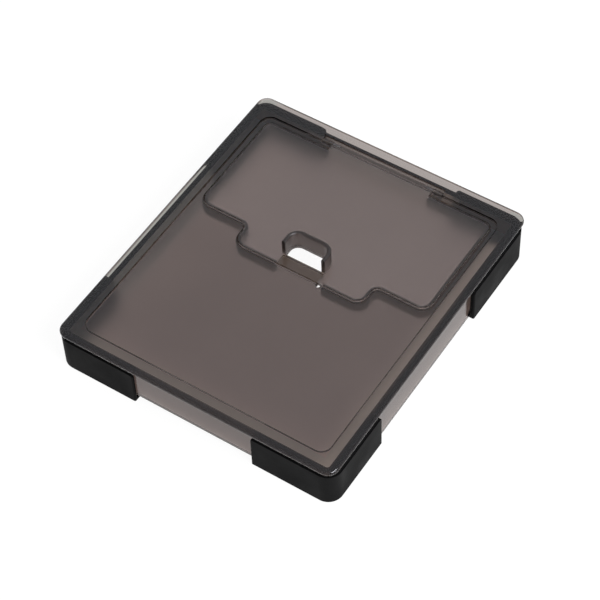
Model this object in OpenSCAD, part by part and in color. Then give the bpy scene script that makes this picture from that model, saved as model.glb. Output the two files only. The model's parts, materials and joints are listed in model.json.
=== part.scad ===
// Low bait station of smoke-tinted plastic: an open-bottomed cover with a hinged
// inspection door in its top, standing on four black rubber corner feet.
// Origin: middle of the footprint, on the surface that the feet stand on.
// +X runs along the front edge, +Y goes back to the hinge, +Z is up. Millimetres.

/* [Cover] */
// Width of the cover along the front edge
cover_w = 120; // [114:1:140]
// Length of the cover, front edge to hinge edge
cover_l = 138; // [130:1:160]
// Height of the rim above the surface
cover_h = 19; // [17:0.5:24]
// Corner radius of the rim
rim_r = 4.5; // [4:0.5:6]
// Thickness of the rim, which ends in a full round
rim_t = 2.5; // [2.4:0.1:2.8]
// How far the rim overhangs the skirt at the sides
overhang = 1.45; // [1.3:0.05:1.8]
// How far the rim overhangs the skirt at the front
overhang_front = 1.2; // [1:0.1:1.8]
// How far the rim overhangs the skirt at the back, behind the hinge
overhang_back = 3.4; // [3.2:0.1:3.7]
// Thickness of the skirt wall
skirt_t = 2.2; // [2:0.1:2.4]
// Outer corner radius of the skirt
skirt_r = 3.4; // [3:0.1:4]
// Gap between the skirt's lower edge and the surface
skirt_gap = 0.8; // [0.6:0.1:1.2]
// Height of the way in for insects, under the front wall
entry_h = 3; // [2:0.5:5]
// Depth of the shallow recess in the top
recess_d = 0.5; // [0.3:0.1:0.7]
// Corner radius of the recess
recess_r = 4.5; // [3:0.5:6]
// Width of the fine groove along the recess's edge
groove_w = 0.35; // [0.2:0.05:0.5]
// Depth of that groove below the recess
groove_d = 0.9; // [0.4:0.1:1.1]
// Width of the rim beside the recess
rim_side = 6.9; // [6.5:0.1:9]
// Width of the rim in front of the recess
rim_front = 6.6; // [6:0.1:9]
// Width of the rim behind the recess
rim_back = 8.3; // [8.2:0.1:8.8]

/* [Door] */
// Length of the door, from the tongue's front edge to the hinge line
door_l = 61.2; // [56:0.2:66]
// Panel left between the side of the recess and the door
door_margin = 2.8; // [2.4:0.1:5]
// Thickness of the door
door_t = 1.4; // [1.3:0.1:1.8]
// Play between the door and the panel round it
door_gap = 0.45; // [0.4:0.05:0.6]
// Width of the tongue at the front of the door
tongue_w = 56.4; // [48:0.2:64]
// How far the tongue reaches beyond the door's shoulders
tongue_reach = 9.9; // [8.5:0.1:12]
// Depth of the frame that carries the door's edge, below the panel
frame_h = 4.4; // [2:0.2:6]
// How far the frame reaches out beyond the door's edge
frame_out = 0.95; // [0.9:0.05:1.6]
// How far the frame's ledge reaches in under the door's edge
frame_in = 1.2; // [1:0.1:1.8]

/* [Finger grip] */
// Width of the upright grip wall
grip_w = 19; // [16:0.1:22]
// Depth of the grip, from its open front to its back
grip_depth = 8.1; // [7.2:0.1:9]
// Height of the grip wall above the door
grip_h = 7.3; // [5:0.1:9]
// Thickness of the grip wall, whose top is a full round
grip_t = 1.6; // [1.2:0.1:1.8]
// Distance of the grip from the tongue's front edge
grip_setback = 5; // [4.6:0.1:7]

/* [Hinge] */
// Radius of the hinge pins
pin_r = 0.6; // [0.5:0.05:0.65]
// Length of each hinge pin
pin_l = 7.2; // [6.6:0.1:8]
// Radius of the door's hinge barrel
barrel_r = 1.3; // [1.25:0.05:1.4]
// Running clearance of the barrel on its pins, on the radius
pin_play = 0.06; // [0.03:0.01:0.1]
// Distance of the lugs' inner faces from the middle of the door
lug_inner = 22.8; // [18:0.2:30]
// Width of each lug
lug_w = 4; // [3:0.1:4.4]

/* [Feet] */
// Length of a front foot along the front edge
foot_x_front = 34.9; // [24:0.1:42]
// Length of a back foot along the back edge
foot_x_back = 30.9; // [24:0.1:42]
// Length of a front foot along the side
foot_y_front = 32.5; // [24:0.5:42]
// Length of a back foot along the side
foot_y_back = 39.2; // [24:0.1:46]
// Corner radius of the feet
foot_r = 6; // [5:0.5:6.5]
// How far the feet stand proud of the rim at the sides
foot_proud = 0.4; // [0:0.1:0.8]
// How far the back feet stay in front of the rim's back edge
foot_back_in = 1.2; // [0.8:0.1:2]
// Height of the narrower neck at the top of a foot, under the rim
foot_neck_h = 1; // [0.6:0.1:2]
// How far the neck stands back from the foot's face
foot_neck_in = 0.6; // [0.3:0.1:0.8]
// Height of the lip that grips the inside of the skirt
foot_lip_h = 2; // [1.5:0.5:6]
// Thickness of that lip
foot_lip_t = 0.8; // [0.6:0.1:1.6]

/* [Hidden] */
$fn = 64;
// Overlap that joins two solids of one piece, or carries a cut past a face
join = 0.2;
// Room between a foot or the door and the cover it rests against
rest_gap = 0.05;
// A flat runs this far past the tangent of the round edge that it meets
tangent_lap = 0.12;

half_w = cover_w / 2;
half_l = cover_l / 2;
rim_bottom = cover_h - rim_t;
panel_top = cover_h - recess_d;
edge_r = rim_t / 2;
skirt_in_back = half_l - overhang_back - skirt_t;
// The way in runs on this far behind the ends of the front feet
entry_lap = 1;
entry_half_w = half_w + foot_proud - foot_x_front + entry_lap;

// Recess in the top, seen from above
recess_half_w = half_w - rim_side;
recess_front = -half_l + rim_front;
recess_back = half_l - rim_back;

// Hinge line: close in front of the back wall, the barrel's top level with the door
barrel_gap = 0.35;
hinge_y = skirt_in_back - barrel_gap - barrel_r;
hinge_z = panel_top - barrel_r;

// Door, seen from above
door_bottom = panel_top - door_t;
door_half_w = recess_half_w - door_margin;
// The door's back edge stays this far in front of the hinge line, beside the lugs
door_setback = 3.8;
door_back = hinge_y - door_setback;
tongue_front = hinge_y - door_l;
door_front = tongue_front + tongue_reach;
tongue_half_w = tongue_w / 2;
shoulder_r = 4.5;
tongue_r = 4.5;
tongue_root_r = 3;
door_back_r = 2.5;

// Frame under the panel, with its ledge, and the break in it at the catch
frame_bottom = rim_bottom - frame_h;
ledge_top = door_bottom - rest_gap;
catch_half_w = 9.4;
// Round bead on the tongue's front edge, and the notch end that it is eased out by
bead_r = 0.6;
bead_proud = 0.2;
bead_l = 2 * catch_half_w;
// Thicker strip under the tongue, between the bead and the finger hole
catch_strip_t = 1.4;
catch_strip_half_w = catch_half_w - 0.4;
relief_r = 1;
relief_x = catch_half_w + 0.75 * relief_r;
relief_y = tongue_front - relief_r;
catch_end = relief_x + relief_r + join;

// Lugs, pin bores and barrel
lug_wall = 1.4;
lug_outer = lug_inner + lug_w;
lug_front = hinge_y - barrel_r;
lug_bottom = hinge_z - pin_r - lug_wall;
lug_bore_r = pin_r + 0.01;
// Room at the ends of the barrel and of its bores
end_play = 0.3;
barrel_end = lug_inner - end_play;
barrel_bore_r = pin_r + pin_play;
barrel_bore_l = pin_l - (lug_outer - barrel_end) + end_play;
// Pocket under the rim beside each lug, from which its pin is pushed in
pocket_room = 0.1;
pocket_l = pin_l + 2 * pocket_room;
pocket_half = pin_r + pocket_room;
pocket_top = hinge_z + pin_r + 2 * pocket_room;

// Finger grip, seen from above
grip_front = tongue_front + grip_setback;
grip_back = grip_front + grip_depth;
grip_half_w = grip_w / 2;
grip_r = 5;
grip_top_r = grip_t / 2;

// Feet
foot_end_r = 0.6;
foot_shoulder_r = 1.4;
foot_side = half_w + foot_proud;
foot_back = half_l - foot_back_in;
foot_top = rim_bottom - rest_gap;
foot_shoulder = foot_top - foot_neck_h;
foot_sole = skirt_gap - rest_gap;
foot_lip_out = skirt_t + rest_gap;
foot_lip_in = foot_lip_out + foot_lip_t;
foot_lip_r = skirt_r - skirt_t - rest_gap;
foot_lip_in_r = 0.5;

SMOKE = [0.42, 0.39, 0.38, 0.75];
SMOKE_DOOR = [0.47, 0.43, 0.42, 0.75];
BLACK = [0.10, 0.10, 0.10];
STEEL = [0.70, 0.70, 0.72];

// Draws a right-hand shape and its mirror image on the left
module both_sides() {
    children();
    mirror([1, 0, 0])
        children();
}

// Flat outline, even about X = 0, with one radius for its front corners and one for its back
module even_outline(half, front, back, front_r, back_r) {
    middle = (front + back) / 2;
    translate([-half, front + front_r])
        square([2 * half, back - back_r - front - front_r]);
    translate([-half + front_r, front])
        square([2 * (half - front_r), middle - front]);
    translate([-half + back_r, middle - join])
        square([2 * (half - back_r), back - middle + join]);
    both_sides() {
        translate([half - front_r, front + front_r])
            circle(r = front_r);
        translate([half - back_r, back - back_r])
            circle(r = back_r);
    }
}

// Outline of the rim, drawn in from its edge, with a corner radius
module cover_outline(inset, r) {
    even_outline(half_w - inset, -half_l + inset, half_l - inset, r, r);
}

// Outline of the skirt, drawn in from its outer face, with a corner radius
module skirt_outline(inset, r) {
    front = -half_l + overhang_front + inset;
    back = half_l - overhang_back - inset;
    even_outline(half_w - overhang - inset, front, back, r, r);
}

// Outline of the recess, drawn in from its edge
module recess_outline(inset) {
    r = recess_r - inset;
    even_outline(recess_half_w - inset, recess_front + inset, recess_back - inset, r, r);
}

// Fills an inner corner whose two straight sides run along +X and -Y
module inner_fillet(r) {
    difference() {
        translate([-join, -r])
            square(r + join);
        translate([r, -r])
            circle(r = r);
    }
}

// Outline of the door with its tongue, grown by g all round
module door_outline(g) {
    even_outline(door_half_w + g, door_front - g, door_back + g, shoulder_r + g, door_back_r + g);
    even_outline(tongue_half_w + g, tongue_front - g, door_front + shoulder_r, tongue_r + g, 1);
    both_sides()
        translate([tongue_half_w + g, door_front - g])
            inner_fillet(tongue_root_r - g);
}

// Rim plate with a fully rounded edge
module rim_plate() {
    run_x = cover_w - 2 * rim_r;
    run_y = cover_l - 2 * rim_r;
    edge_z = cover_h - edge_r;
    translate([0, 0, rim_bottom])
        linear_extrude(rim_t)
            cover_outline(edge_r - tangent_lap, rim_r - edge_r + tangent_lap);
    for (end = [-1, 1])
        translate([-run_x / 2, end * (half_l - edge_r), edge_z])
            rotate([0, 90, 0])
                cylinder(r = edge_r, h = run_x);
    both_sides() {
        translate([half_w - edge_r, run_y / 2, edge_z])
            rotate([90, 0, 0])
                cylinder(r = edge_r, h = run_y);
        for (end = [0, 1])
            mirror([0, end, 0])
                translate([half_w - rim_r, half_l - rim_r, edge_z])
                    rotate_extrude(angle = 90)
                        translate([rim_r - edge_r, 0])
                            circle(r = edge_r);
    }
}

// Skirt wall, from the rim down to just above the surface, with the way in at the front
module skirt() {
    difference() {
        translate([0, 0, skirt_gap])
            linear_extrude(rim_bottom + join - skirt_gap)
                difference() {
                    skirt_outline(0, skirt_r);
                    skirt_outline(skirt_t, skirt_r - skirt_t);
                }
        translate([-entry_half_w, -half_l, 0])
            cube([2 * entry_half_w, overhang_front + skirt_t + join, entry_h]);
    }
}

// Frame under the panel, all round the door opening
module door_frame() {
    translate([0, 0, frame_bottom])
        linear_extrude(frame_h + join)
            door_outline(frame_out);
}

// Two knuckles on the back wall, in line with the door's barrel, that carry the hinge pins
module hinge_lugs() {
    both_sides()
        translate([lug_inner, 0, 0])
            rotate([90, 0, 90])
                linear_extrude(lug_w) {
                    translate([lug_front, lug_bottom])
                        square([skirt_in_back + join - lug_front, hinge_z - lug_bottom]);
                    translate([hinge_y, hinge_z])
                        circle(r = barrel_r);
                }
}

// Recess, door opening and catch, cut from the cover
module door_cuts() {
    translate([0, 0, panel_top])
        linear_extrude(recess_d + join)
            recess_outline(0);
    translate([0, 0, panel_top - groove_d])
        linear_extrude(groove_d + join)
            difference() {
                recess_outline(0);
                recess_outline(groove_w);
            }
    translate([0, 0, ledge_top])
        linear_extrude(cover_h + join - ledge_top)
            door_outline(door_gap);
    translate([0, 0, frame_bottom - join])
        linear_extrude(ledge_top - frame_bottom + 2 * join)
            door_outline(-frame_in);
    translate([-catch_half_w, tongue_front - frame_out - join, frame_bottom - join])
        cube([catch_half_w + catch_end, frame_out + frame_in + 2 * join, frame_h + join]);
    translate([-catch_half_w, tongue_front - door_gap, rim_bottom - join])
        cube([catch_half_w + catch_end, door_gap + frame_in + join, ledge_top - rim_bottom + 2 * join]);
    translate([relief_x, relief_y, frame_bottom - join])
        cylinder(r = relief_r, h = cover_h - frame_bottom);
}

// Notches for the barrel and the knuckles, and pin pockets, cut from the cover
module hinge_cuts() {
    notch_front = door_back - frame_in - join;
    notch_top = cover_h + join;
    translate([-lug_inner, notch_front, frame_bottom - join])
        cube([2 * lug_inner, skirt_in_back - notch_front, notch_top - frame_bottom + join]);
    translate([-lug_outer - end_play, lug_front - barrel_gap, rim_bottom - join])
        cube([2 * (lug_outer + end_play), barrel_r * 2 + barrel_gap * 2, notch_top - rim_bottom + join]);
    both_sides()
        translate([lug_outer, hinge_y - pocket_half, rim_bottom - join])
            cube([pocket_l, 2 * pocket_half, pocket_top - rim_bottom + join]);
}

// Bores of the knuckles for the hinge pins
module lug_bores() {
    both_sides()
        translate([lug_inner - join, hinge_y, hinge_z])
            rotate([0, 90, 0])
                cylinder(r = lug_bore_r, h = lug_w + 2 * join);
}

module cover_shell() {
    color(SMOKE)
        difference() {
            union() {
                difference() {
                    union() {
                        rim_plate();
                        skirt();
                        door_frame();
                    }
                    door_cuts();
                    hinge_cuts();
                }
                hinge_lugs();
            }
            lug_bores();
        }
}

// Arch in plan: straight across the front, round at its two back corners
module arch_outline(half, front, back, r) {
    intersection() {
        even_outline(half, front - 2 * r, back, r, r);
        translate([-half, front])
            square([2 * half, back - front]);
    }
}

// Grip wall before its finger hole is cut, with a rounded top edge
module grip_wall() {
    turn_x = grip_half_w - grip_r;
    turn_y = grip_back - grip_r;
    top_z = panel_top + grip_h - grip_top_r;
    translate([0, 0, door_bottom])
        linear_extrude(top_z + tangent_lap - door_bottom)
            arch_outline(grip_half_w, grip_front, grip_back, grip_r);
    both_sides() {
        translate([grip_half_w - grip_top_r, turn_y, top_z])
            rotate([90, 0, 0])
                cylinder(r = grip_top_r, h = turn_y - grip_front);
        translate([turn_x, turn_y, top_z])
            rotate_extrude(angle = 90)
                translate([grip_r - grip_top_r, 0])
                    circle(r = grip_top_r);
    }
    translate([-turn_x, grip_back - grip_top_r, top_z])
        rotate([0, 90, 0])
            cylinder(r = grip_top_r, h = 2 * turn_x);
}

// Finger hole inside the grip wall, through wall and door
module finger_hole() {
    translate([0, 0, door_bottom - join])
        linear_extrude(door_t + grip_h + 2 * join)
            arch_outline(grip_half_w - grip_t, grip_front, grip_back - grip_t, grip_r - grip_t);
}

module flap_door() {
    color(SMOKE_DOOR)
        difference() {
            union() {
                translate([0, 0, door_bottom])
                    linear_extrude(door_t)
                        door_outline(0);
                translate([-barrel_end, door_back - door_back_r, door_bottom])
                    cube([2 * barrel_end, hinge_y - door_back + door_back_r, door_t]);
                translate([-barrel_end, hinge_y, hinge_z])
                    rotate([0, 90, 0])
                        cylinder(r = barrel_r, h = 2 * barrel_end);
                translate([-bead_l / 2, tongue_front + bead_r - bead_proud, door_bottom + door_t / 2])
                    rotate([0, 90, 0])
                        cylinder(r = bead_r, h = bead_l);
                translate([-catch_strip_half_w, tongue_front, door_bottom - catch_strip_t])
                    cube([2 * catch_strip_half_w, grip_setback, catch_strip_t + join]);
                grip_wall();
            }
            finger_hole();
            both_sides()
                translate([barrel_end - barrel_bore_l, hinge_y, hinge_z])
                    rotate([0, 90, 0])
                        cylinder(r = barrel_bore_r, h = barrel_bore_l + join);
        }
}

// Right-hand hinge pin, half in its lug and half in the barrel
module hinge_pin() {
    color(STEEL)
        translate([lug_outer - pin_l, hinge_y, hinge_z])
            rotate([0, 90, 0])
                cylinder(r = pin_r, h = pin_l);
}

module hinge_pin_left() {
    mirror([1, 0, 0])
        hinge_pin();
}

module hinge_pin_right() {
    hinge_pin();
}

// Cuts a foot's outer upright edge round, at the end of its leg along X
module end_round() {
    difference() {
        translate([-join, 0])
            square(foot_end_r + join);
        translate([foot_end_r, 0])
            circle(r = foot_end_r);
        translate([foot_end_r, -join])
            square(foot_end_r + 2 * join);
    }
}

// Outline of all four feet, drawn in from their outer faces
module foot_outline(inset) {
    r = foot_r - inset;
    even_outline(foot_side - inset, -half_l + inset, foot_back - inset, r, r);
}

// Area of a foot at the right whose outer end face lies at a distance of reach from the middle
module foot_area(reach, leg_x, leg_y) {
    difference() {
        translate([foot_side - leg_x, reach - leg_y])
            square([leg_x, leg_y]);
        translate([foot_side - leg_x, reach - foot_end_r])
            end_round();
        translate([foot_side - foot_end_r, reach - leg_y])
            mirror([1, -1])
                end_round();
    }
}

// Upright strip of a foot, between an outer and an inner outline, at the back (end 0) or front (end 1)
module foot_strip(end, reach, leg_x, leg_y, height) {
    linear_extrude(height)
        intersection() {
            difference() {
                children(0);
                children(1);
            }
            mirror([0, end])
                foot_area(reach, leg_x, leg_y);
        }
}

// Cuts a foot's upper corner round, at the end of its leg along X
module shoulder_round() {
    across = overhang_back + skirt_t;
    difference() {
        translate([-join, -across, -foot_shoulder_r])
            cube([foot_shoulder_r + join, across + join, foot_shoulder_r + join]);
        translate([foot_shoulder_r, join * 2, -foot_shoulder_r])
            rotate([90, 0, 0])
                cylinder(r = foot_shoulder_r, h = across + 3 * join);
    }
}

// Foot at the right: leg outside the skirt, neck on the leg, sole under the skirt, lip inside it
module foot(end, reach, leg_x, leg_y) {
    color(BLACK)
        difference() {
            union() {
                foot_strip(end, reach, leg_x, leg_y, foot_shoulder) {
                    foot_outline(0);
                    skirt_outline(-rest_gap, skirt_r + rest_gap);
                }
                foot_strip(end, reach, leg_x - foot_shoulder_r, leg_y - foot_shoulder_r, foot_top) {
                    foot_outline(foot_neck_in);
                    skirt_outline(-rest_gap, skirt_r + rest_gap);
                }
                foot_strip(end, reach, leg_x, leg_y, foot_sole) {
                    foot_outline(0);
                    skirt_outline(foot_lip_in, foot_lip_in_r);
                }
                foot_strip(end, reach, leg_x, leg_y, foot_lip_h) {
                    skirt_outline(foot_lip_out, foot_lip_r);
                    skirt_outline(foot_lip_in, foot_lip_in_r);
                }
            }
            mirror([0, end, 0]) {
                translate([foot_side - leg_x, reach, foot_shoulder])
                    shoulder_round();
                translate([foot_side, reach - leg_y, foot_shoulder])
                    mirror([1, -1, 0])
                        shoulder_round();
            }
        }
}

module foot_front_left() {
    mirror([1, 0, 0])
        foot(1, half_l, foot_x_front, foot_y_front);
}

module foot_front_right() {
    foot(1, half_l, foot_x_front, foot_y_front);
}

module foot_back_left() {
    mirror([1, 0, 0])
        foot(0, foot_back, foot_x_back, foot_y_back);
}

module foot_back_right() {
    foot(0, foot_back, foot_x_back, foot_y_back);
}

cover_shell();
flap_door();
hinge_pin_left();
hinge_pin_right();
foot_front_left();
foot_front_right();
foot_back_left();
foot_back_right();
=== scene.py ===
import json
from math import radians

import bpy
from mathutils import Matrix

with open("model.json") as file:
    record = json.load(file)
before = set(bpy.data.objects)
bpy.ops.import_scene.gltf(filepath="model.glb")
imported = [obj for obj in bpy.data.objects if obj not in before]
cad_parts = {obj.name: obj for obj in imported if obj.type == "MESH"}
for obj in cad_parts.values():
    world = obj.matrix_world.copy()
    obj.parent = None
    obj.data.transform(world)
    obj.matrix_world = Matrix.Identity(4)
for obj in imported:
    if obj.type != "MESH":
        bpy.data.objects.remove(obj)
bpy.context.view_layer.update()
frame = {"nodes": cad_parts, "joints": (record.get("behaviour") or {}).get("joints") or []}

nodes = frame["nodes"]


# Cover: one injection moulding of smoke-tinted, see-through plastic. A rounded rim and a
# shallow recess form its top, and a skirt goes down all round to just above the floor. The
# mould is polished outside and matte inside, less matte round the door's frame and the lugs.

# How far the moulding reaches, and where its hinge line is
cover = nodes["cover_shell"]
half_w, half_l, top = [
    max(vertex.co[axis] for vertex in cover.data.vertices) for axis in range(3)
]
hinge_y = frame["joints"][0]["pos_m"][1]

# Sizes of the rim, of the recess within it and of the skirt under it
rim_t = 0.0025
rim_side = 0.0069
rim_front = 0.0066
recess_d = 0.0005
skirt_t = 0.0022
overhang_side = 0.00145
overhang_front = 0.0012
overhang_back = 0.0034
# Depth of the door's frame below the panel. For the door that it carries: thickness, gap
# round it, and how far its back edge stays in front of the hinge line.
frame_h = 0.0044
door_t = 0.0014
door_gap = 0.00045
door_setback = 0.0038
panel_top = top - recess_d
underside = top - rim_t
door_bottom = panel_top - door_t

# A finish goes this far past the last face that has it, and stops short of the next one
face_lap = 0.0001
underside_span = (underside - face_lap, underside + 3 * face_lap)

# Inside is what lies within the middle planes of the skirt's walls, and no higher than the
# door's underside. From the door's back edge on, it goes up to a level close under the top.
side_wall = half_w - overhang_side - skirt_t / 2
front_wall = overhang_front + skirt_t / 2 - half_l
back_wall = half_l - overhang_back - skirt_t / 2
inside_top = door_bottom + face_lap
hinge_top = panel_top - 2 * face_lap
hinge_start = hinge_y - door_setback - door_gap
hinge_step = 0.001
# The lugs stand beside this stretch of the hinge, and end at the back wall
lug_inner = 0.0215
lug_back = back_wall - skirt_t / 2 - face_lap
# Along the panel's underside the grain thins out between these two places
frame_matte = -0.055
frame_smooth = -0.004

# How rough each face is, and how much that changes from one cloudy patch to the next
rough_outside = 0.12
rough_inside = 0.55
rough_frame = 0.3
rough_lugs = 0.3
rough_grip = 0.36
rough_change = 0.02
plastic_grain = {"Fine Scale": 2600.0, "Broad Scale": 45.0}
plastic_rub = {"Scale": 30.0, "Amount": 0.008}
plastic_bump = {"Strength": 0.04, "Distance": 0.00002}

# The smoke is in the plastic itself: light is tinted by the way that it goes through it
smoke_tint = (0.32, 0.24, 0.20, 1.0)
cover_density = 505.0
plastic_ior = 1.5
gloss_tint = (0.82, 0.82, 0.88, 1.0)
clear_tone = (1.0, 1.0, 1.0, 1.0)
cloudy_tone = (0.94, 0.94, 0.945, 1.0)
# Painted shade for the smooth underside near the door's frame
frame_shade = (0.86, 0.86, 0.86, 1.0)

# Nearly all of a noise pattern lies between these two values
noise_low = 0.3
noise_high = 0.7


def add_node(tree, kind, inputs=None, **settings):
    made = tree.nodes.new(kind)
    for name, value in settings.items():
        setattr(made, name, value)
    for name, value in (inputs or {}).items():
        if isinstance(value, bpy.types.NodeSocket):
            tree.links.new(value, made.inputs[name])
        else:
            made.inputs[name].default_value = value
    return made


def reckon(tree, operation, first, second):
    made = add_node(tree, "ShaderNodeMath", {0: first, 1: second}, operation=operation)
    return made.outputs[0]


# A smooth change from low to high as the value goes from start to end
def ease(tree, value, start, end, low=0.0, high=1.0):
    made = add_node(
        tree, "ShaderNodeMapRange",
        {"Value": value, "From Min": start, "From Max": end, "To Min": low, "To Max": high},
        interpolation_type="SMOOTHSTEP",
    )
    return made.outputs["Result"]


# The first value where the mask is 0, the second where it is 1
def pick(tree, mask, first, second):
    return ease(tree, mask, 0.0, 1.0, first, second)


def blend(tree, mask, first, second):
    made = add_node(
        tree, "ShaderNodeMix", {"Factor": mask, "A": first, "B": second}, data_type="RGBA",
    )
    return made.outputs["Result"]


def within(tree, value, low, high):
    above = reckon(tree, "GREATER_THAN", value, low)
    below = reckon(tree, "LESS_THAN", value, high)
    return reckon(tree, "MULTIPLY", above, below)


def overlap(tree, first, *others):
    shared = first
    for mask in others:
        shared = reckon(tree, "MULTIPLY", shared, mask)
    return shared


def outside_of(tree, mask):
    return reckon(tree, "SUBTRACT", 1.0, mask)


def object_place(tree):
    return add_node(tree, "ShaderNodeTexCoord").outputs["Object"]


def object_axes(tree):
    return add_node(tree, "ShaderNodeSeparateXYZ", {0: object_place(tree)}).outputs


# A mask that is 1 inside a block with the spans given along X, Y and Z
def in_block(tree, axes, **spans):
    return overlap(tree, *[within(tree, axes[axis], *span) for axis, span in spans.items()])


def new_group(name, inputs, outputs):
    group = bpy.data.node_groups.new(name, "ShaderNodeTree")
    for in_out, sockets in (("INPUT", inputs), ("OUTPUT", outputs)):
        for socket in sockets:
            group.interface.new_socket(name=socket, in_out=in_out, socket_type="NodeSocketFloat")
    given = group.nodes.new("NodeGroupInput")
    result = group.nodes.new("NodeGroupOutput")
    return group, given.outputs, result.inputs


# Grain that the mould leaves: fine speckle, and broad cloudy patches of slower change
grain_detail = {"Fine": 2.0, "Broad": 3.0}
mould_grain, given, result = new_group("mould_grain", ["Fine Scale", "Broad Scale"], grain_detail)
place = object_place(mould_grain)
for name, detail in grain_detail.items():
    noise = add_node(
        mould_grain, "ShaderNodeTexNoise",
        {"Vector": place, "Scale": given[name + " Scale"], "Detail": detail},
    )
    mould_grain.links.new(noise.outputs["Fac"], result[name])

# Rub marks from handling: thin slanted streaks, a few per piece
streak_turn = (0.3, 0.2, 0.7)
streak_squeeze = (1.0, 14.0, 6.0)
streak_detail = 4.0
streak_start = 0.62
streak_full = 0.78
rub_marks, given, result = new_group("rub_marks", ["Scale", "Amount"], ["Mask"])
slanted = add_node(
    rub_marks, "ShaderNodeMapping",
    {"Vector": object_place(rub_marks), "Rotation": streak_turn, "Scale": streak_squeeze},
)
streaks = add_node(
    rub_marks, "ShaderNodeTexNoise",
    {"Vector": slanted.outputs[0], "Scale": given["Scale"], "Detail": streak_detail},
)
mark = ease(rub_marks, streaks.outputs["Fac"], streak_start, streak_full)
rub_marks.links.new(overlap(rub_marks, mark, given["Amount"]), result["Mask"])


def use_group(tree, group, values):
    return add_node(tree, "ShaderNodeGroup", values, node_tree=group).outputs


def new_material(name):
    material = bpy.data.materials.new(name)
    material.use_nodes = True
    return material, material.node_tree, material.node_tree.nodes["Principled BSDF"]


def set_material(node, material):
    node.data.materials.clear()
    node.data.materials.append(material)


# Tints the masked faces with a colour: dirt and wear on some, painted shade on others
def tint_dirt_and_shade(tree, shader, mask, colour):
    clean = shader.inputs["Base Color"].links[0].from_socket
    tree.links.new(blend(tree, mask, clean, colour), shader.inputs["Base Color"])


def press_grain(tree, shader, height, bump_values):
    bump = add_node(tree, "ShaderNodeBump", {"Height": height, **bump_values})
    tree.links.new(bump.outputs["Normal"], shader.inputs["Normal"])


def smoke_plastic(name, density, grip_foot=None):
    material, tree, shader = new_material(name)
    axes = object_axes(tree)
    grain = use_group(tree, mould_grain, plastic_grain)
    rubbed = use_group(tree, rub_marks, plastic_rub)

    level = ease(tree, axes["Y"], hinge_start, hinge_start + hinge_step, inside_top, hinge_top)
    inside = overlap(
        tree, reckon(tree, "LESS_THAN", axes["Z"], level),
        in_block(tree, axes, X=(-side_wall, side_wall), Y=(front_wall, back_wall)),
    )
    smooth = overlap(
        tree, ease(tree, axes["Y"], frame_matte, frame_smooth),
        reckon(tree, "LESS_THAN", axes["Y"], hinge_start),
        within(tree, axes["Z"], *underside_span),
    )
    at_lugs = overlap(
        tree, within(tree, axes["Y"], hinge_start, lug_back),
        outside_of(tree, within(tree, axes["X"], -lug_inner, lug_inner)),
    )
    matte = pick(tree, smooth, rough_inside, rough_frame)
    matte = pick(tree, at_lugs, matte, rough_lugs)
    rough = pick(tree, inside, rough_outside, matte)
    if grip_foot is not None:
        on_grip = reckon(tree, "GREATER_THAN", axes["Z"], grip_foot)
        rough = reckon(tree, "MAXIMUM", rough, pick(tree, on_grip, 0.0, rough_grip))
    patches = ease(tree, grain["Broad"], noise_low, noise_high, -rough_change, rough_change)
    rough = reckon(tree, "ADD", rough, patches)
    rough = reckon(tree, "ADD", rough, rubbed["Mask"])
    tree.links.new(rough, shader.inputs["Roughness"])

    tone = blend(tree, grain["Broad"], clear_tone, cloudy_tone)
    tree.links.new(tone, shader.inputs["Base Color"])
    # Painted shade: the smooth underside is darkened, more towards the door's frame
    tint_dirt_and_shade(tree, shader, smooth, frame_shade)
    press_grain(tree, shader, grain["Fine"], plastic_bump)
    shader.inputs["Transmission Weight"].default_value = 1.0
    shader.inputs["IOR"].default_value = plastic_ior
    shader.inputs["Specular Tint"].default_value = gloss_tint
    absorb = add_node(
        tree, "ShaderNodeVolumeAbsorption", {"Color": smoke_tint, "Density": density},
    )
    tree.links.new(absorb.outputs["Volume"], tree.nodes["Material Output"].inputs["Volume"])
    return material, tree, shader, axes


cover_smoke, tree, shader, axes = smoke_plastic("cover_smoke", cover_density)
set_material(cover, cover_smoke)

# Painted shade darkens the groove, the door's ledge and the rim's edge, up to the hinge.
# The groove's left run gets less of it.
groove_shade_span = (door_bottom - face_lap, panel_top - face_lap / 2)
left_groove = (-0.0545, -0.0515)
left_share = 0.4
groove_shade = (0.2, 0.17, 0.13, 1.0)
groove_shaded = overlap(
    tree, within(tree, axes["Z"], *groove_shade_span),
    reckon(tree, "LESS_THAN", axes["Y"], hinge_start),
    pick(tree, within(tree, axes["X"], *left_groove), 1.0, left_share),
)
tint_dirt_and_shade(tree, shader, groove_shaded, groove_shade)

# Under the rim, in front of the recess and beside it, the plastic is tinted a greyer tone
recess_half_w = half_w - rim_side
recess_front = rim_front - half_l
rim_grey_tint = (0.84, 1.0, 0.98, 1.0)
recess = overlap(
    tree, within(tree, axes["X"], -recess_half_w, recess_half_w),
    reckon(tree, "GREATER_THAN", axes["Y"], recess_front),
)
under_rim = overlap(tree, outside_of(tree, recess), within(tree, axes["Z"], *underside_span))
tint_dirt_and_shade(tree, shader, under_rim, rim_grey_tint)

# The rim's outermost edge is tinted darker all round
edge_w_sides = 0.0007
edge_w_ends = 0.0004
clean_half_w = half_w - edge_w_sides
clean_half_l = half_l - edge_w_ends
edge_dark_tint = (0.3, 0.27, 0.25, 1.0)
inward = in_block(
    tree, axes, X=(-clean_half_w, clean_half_w), Y=(-clean_half_l, clean_half_l),
)
tint_dirt_and_shade(tree, shader, outside_of(tree, inward), edge_dark_tint)

# The walls of the door's frame, below the panel, are tinted a light brown
frame_wall_half_w = 0.0535
frame_wall_front = -0.0015
frame_wall_span = (underside - frame_h - face_lap, underside - face_lap / 2)
frame_wall_tint = (0.74, 0.64, 0.54, 1.0)
on_frame = in_block(
    tree, axes, X=(-frame_wall_half_w, frame_wall_half_w), Y=(frame_wall_front, hinge_start), Z=frame_wall_span,
)
tint_dirt_and_shade(tree, shader, on_frame, frame_wall_tint)
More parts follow.
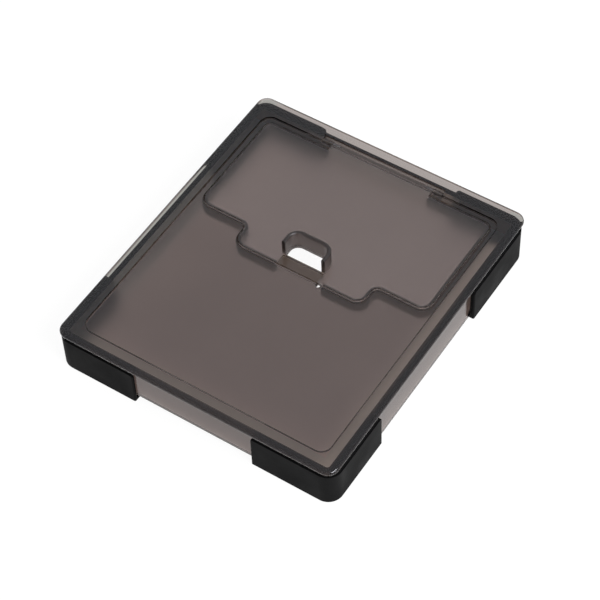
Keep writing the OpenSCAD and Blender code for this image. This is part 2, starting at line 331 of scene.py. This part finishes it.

# The hinge lugs and the stretch beside them are tinted a deeper brown
lug_tint = (0.5, 0.41, 0.33, 1.0)
on_lugs = overlap(
    tree, within(tree, axes["Y"], hinge_start, lug_back),
    reckon(tree, "LESS_THAN", axes["Z"], hinge_top),
    outside_of(tree, within(tree, axes["X"], -lug_inner, lug_inner)),
)
tint_dirt_and_shade(tree, shader, on_lugs, lug_tint)


# Feet: four corners of black rubber, each one a moulding that clips round the skirt's edge.
# The rubber is matte, with a fine mould grain, and it is scuffed where it meets the floor.

scuff_height = 0.0035
deep_black = (0.0016, 0.0016, 0.0017, 1.0)
dull_black = (0.0042, 0.0042, 0.0044, 1.0)
scuff_grey = (0.03, 0.03, 0.03, 1.0)
rubber_smoothest = 0.5
rubber_roughest = 0.66
rubber_shine = 0.05
rubber_grain = {"Fine Scale": 1500.0, "Broad Scale": 60.0}
rubber_rub = {"Scale": 40.0, "Amount": 1.0}
rubber_bump = {"Strength": 0.6, "Distance": 0.00006}

rubber, tree, shader = new_material("foot_rubber")
grain = use_group(tree, mould_grain, rubber_grain)
rubbed = use_group(tree, rub_marks, rubber_rub)
near_floor = ease(tree, object_axes(tree)["Z"], scuff_height, 0.0)
black = blend(tree, grain["Fine"], deep_black, dull_black)
tree.links.new(black, shader.inputs["Base Color"])
tint_dirt_and_shade(tree, shader, overlap(tree, near_floor, rubbed["Mask"]), scuff_grey)
rough = ease(tree, grain["Broad"], noise_low, noise_high, rubber_smoothest, rubber_roughest)
tree.links.new(rough, shader.inputs["Roughness"])
press_grain(tree, shader, grain["Fine"], rubber_bump)
shader.inputs["Specular IOR Level"].default_value = rubber_shine
for foot in ("foot_front_left", "foot_front_right", "foot_back_left", "foot_back_right"):
    set_material(nodes[foot], rubber)


# Hinge pins: two short lengths of drawn steel wire. Each is pushed through its lug from the
# outside and ends in the bore of the door's barrel.

steel_dark = (0.14, 0.14, 0.15, 1.0)
steel_light = (0.24, 0.24, 0.25, 1.0)
steel_smoothest = 0.22
steel_roughest = 0.4
line_squeeze = (60.0, 1.0, 1.0)
line_scale = 160.0
line_detail = 3.0

steel, tree, shader = new_material("pin_steel")
drawn = add_node(
    tree, "ShaderNodeMapping", {"Vector": object_place(tree), "Scale": line_squeeze},
)
noise = add_node(
    tree, "ShaderNodeTexNoise",
    {"Vector": drawn.outputs[0], "Scale": line_scale, "Detail": line_detail},
)
lines = noise.outputs["Fac"]
tree.links.new(blend(tree, lines, steel_dark, steel_light), shader.inputs["Base Color"])
rough = ease(tree, lines, noise_low, noise_high, steel_smoothest, steel_roughest)
tree.links.new(rough, shader.inputs["Roughness"])
shader.inputs["Metallic"].default_value = 1.0
for pin in ("hinge_pin_left", "hinge_pin_right"):
    set_material(nodes[pin], steel)


# Door: a flat flap of the same plastic, thinner and a little less tinted, which drops into
# the framed opening. Finger grip, catch bead and hinge barrel are moulded on, and the grip
# has a matte grain.

grip_foot = panel_top + 2 * face_lap
door_density = 432.0
door_smoke, tree, shader, axes = smoke_plastic("door_smoke", door_density, grip_foot)
set_material(nodes["flap_door"], door_smoke)

# The strip in front of the finger hole is tinted a warmer, darker brown
strip_half_w = 0.009
strip_front = -0.001
strip_back = 0.0055
strip_tint = (0.74, 0.71, 0.62, 1.0)
strip = in_block(tree, axes, X=(-strip_half_w, strip_half_w), Y=(strip_front, strip_back))
tint_dirt_and_shade(tree, shader, strip, strip_tint)


# Floor: a sweep of white paper that the station stands on. Seen directly it is white. Seen
# through the plastic it lies in the cover's shade, which is lighter near the outer walls.

floor_half = 3.0
floor_z = -0.0001
corner_signs = ((-1, -1), (1, -1), (1, 1), (-1, 1))
floor_mesh = bpy.data.meshes.new("floor")
floor_mesh.from_pydata(
    [(x * floor_half, y * floor_half, floor_z) for x, y in corner_signs], [], [(0, 1, 2, 3)],
)
floor = bpy.data.objects.new("floor", floor_mesh)
bpy.context.scene.collection.objects.link(floor)

# The shade fades out behind the rim's back edge, over this length
shade_fade = 0.005
shade_end = half_l + shade_fade
deep_shade = (0.244, 0.196, 0.188, 1.0)
light_shade = (0.92, 0.72, 0.64, 1.0)
# How far in from each wall its light reaches, and how much of the light shade it gives
front_reach = 0.0195
front_light = 0.35
right_reach = 0.0138
right_full = 0.002
right_light = 0.56
left_reach = 0.03245
left_light = 0.045
behind_light = 0.55
# The mirror image that the finger hole's wall gives has less of the shade
mirror_shade = 0.47
white = (1.0, 1.0, 1.0, 1.0)
paper_white = (0.95, 0.95, 0.95, 1.0)
# Most of what the eye sees is plain white, and the rest takes the object's shadow
plain_share = 0.92

paper, tree, shader = new_material("white_paper")
tree.nodes.remove(shader)
axes = object_axes(tree)
path = add_node(tree, "ShaderNodeLightPath").outputs
mirrored = reckon(tree, "SUBTRACT", path["Is Glossy Ray"], path["Is Transmission Ray"])
shaded = overlap(
    tree, in_block(tree, axes, X=(-side_wall, side_wall), Y=(front_wall, shade_end)),
    outside_of(tree, path["Is Camera Ray"]), pick(tree, mirrored, 1.0, mirror_shade),
    ease(tree, axes["Y"], shade_end, half_l),
)
near_front = ease(tree, axes["Y"], front_wall + front_reach, front_wall, 0.0, front_light)
near_right = ease(
    tree, axes["X"], side_wall - right_reach, side_wall - right_full, 0.0, right_light,
)
near_left = ease(tree, axes["X"], left_reach - side_wall, -side_wall, 0.0, left_light)
behind = overlap(tree, reckon(tree, "GREATER_THAN", axes["Y"], back_wall), behind_light)
lit = near_front
for share in (near_right, near_left, behind):
    lit = reckon(tree, "ADD", lit, share)
shade = blend(tree, lit, deep_shade, light_shade)
glow = add_node(tree, "ShaderNodeEmission", {"Color": blend(tree, shaded, white, shade)})
diffuse = add_node(tree, "ShaderNodeBsdfDiffuse", {"Color": paper_white})
seen = path["Is Camera Ray"]
for ray in ("Is Glossy Ray", "Is Transmission Ray"):
    seen = reckon(tree, "MAXIMUM", seen, path[ray])
mixed = add_node(
    tree, "ShaderNodeMixShader",
    {0: overlap(tree, seen, plain_share), 1: diffuse.outputs[0], 2: glow.outputs[0]},
)
tree.links.new(mixed.outputs[0], tree.nodes["Material Output"].inputs["Surface"])
floor_mesh.materials.append(paper)


# Light: a white studio that lights the station evenly from all round, and one large soft
# lamp up on the right, turned to the station.

sky_strength = 0.9
lamp_side = 0.8
lamp_power = 20.0
lamp_place = (0.9, -0.1, 0.7)

world = bpy.data.worlds.new("studio")
bpy.context.scene.world = world
world.use_nodes = True
sky = world.node_tree.nodes["Background"]
sky.inputs["Color"].default_value = white
sky.inputs["Strength"].default_value = sky_strength

lamp_data = bpy.data.lights.new("key", "AREA")
lamp_data.shape = "RECTANGLE"
lamp_data.size = lamp_side
lamp_data.size_y = lamp_side
lamp_data.energy = lamp_power
lamp = bpy.data.objects.new("key", lamp_data)
lamp.location = lamp_place
lamp.rotation_euler = (-lamp.location).to_track_quat("-Z", "Y").to_euler()
bpy.context.scene.collection.objects.link(lamp)


# Camera: at the photograph's angle, with a long lens, from the front right and well above.
# It is rolled a little, as the photograph is.

sensor_mm = 36.0
lens_mm = 127.8
camera_place = (0.2829, -0.3995, 0.6388)
camera_azimuth = 35.16
camera_elevation = 52.45
camera_roll = -2.69

camera_data = bpy.data.cameras.new("camera")
camera_data.sensor_width = sensor_mm
camera_data.lens = lens_mm
camera = bpy.data.objects.new("camera", camera_data)
bpy.context.scene.collection.objects.link(camera)
turn = Matrix.Rotation(radians(camera_azimuth), 4, "Z")
tilt = Matrix.Rotation(radians(90.0 - camera_elevation), 4, "X")
roll = Matrix.Rotation(radians(camera_roll), 4, "Z")
camera.matrix_world = Matrix.Translation(camera_place) @ turn @ tilt @ roll
bpy.context.scene.camera = camera
bpy.context.scene.view_settings.view_transform = "Standard"
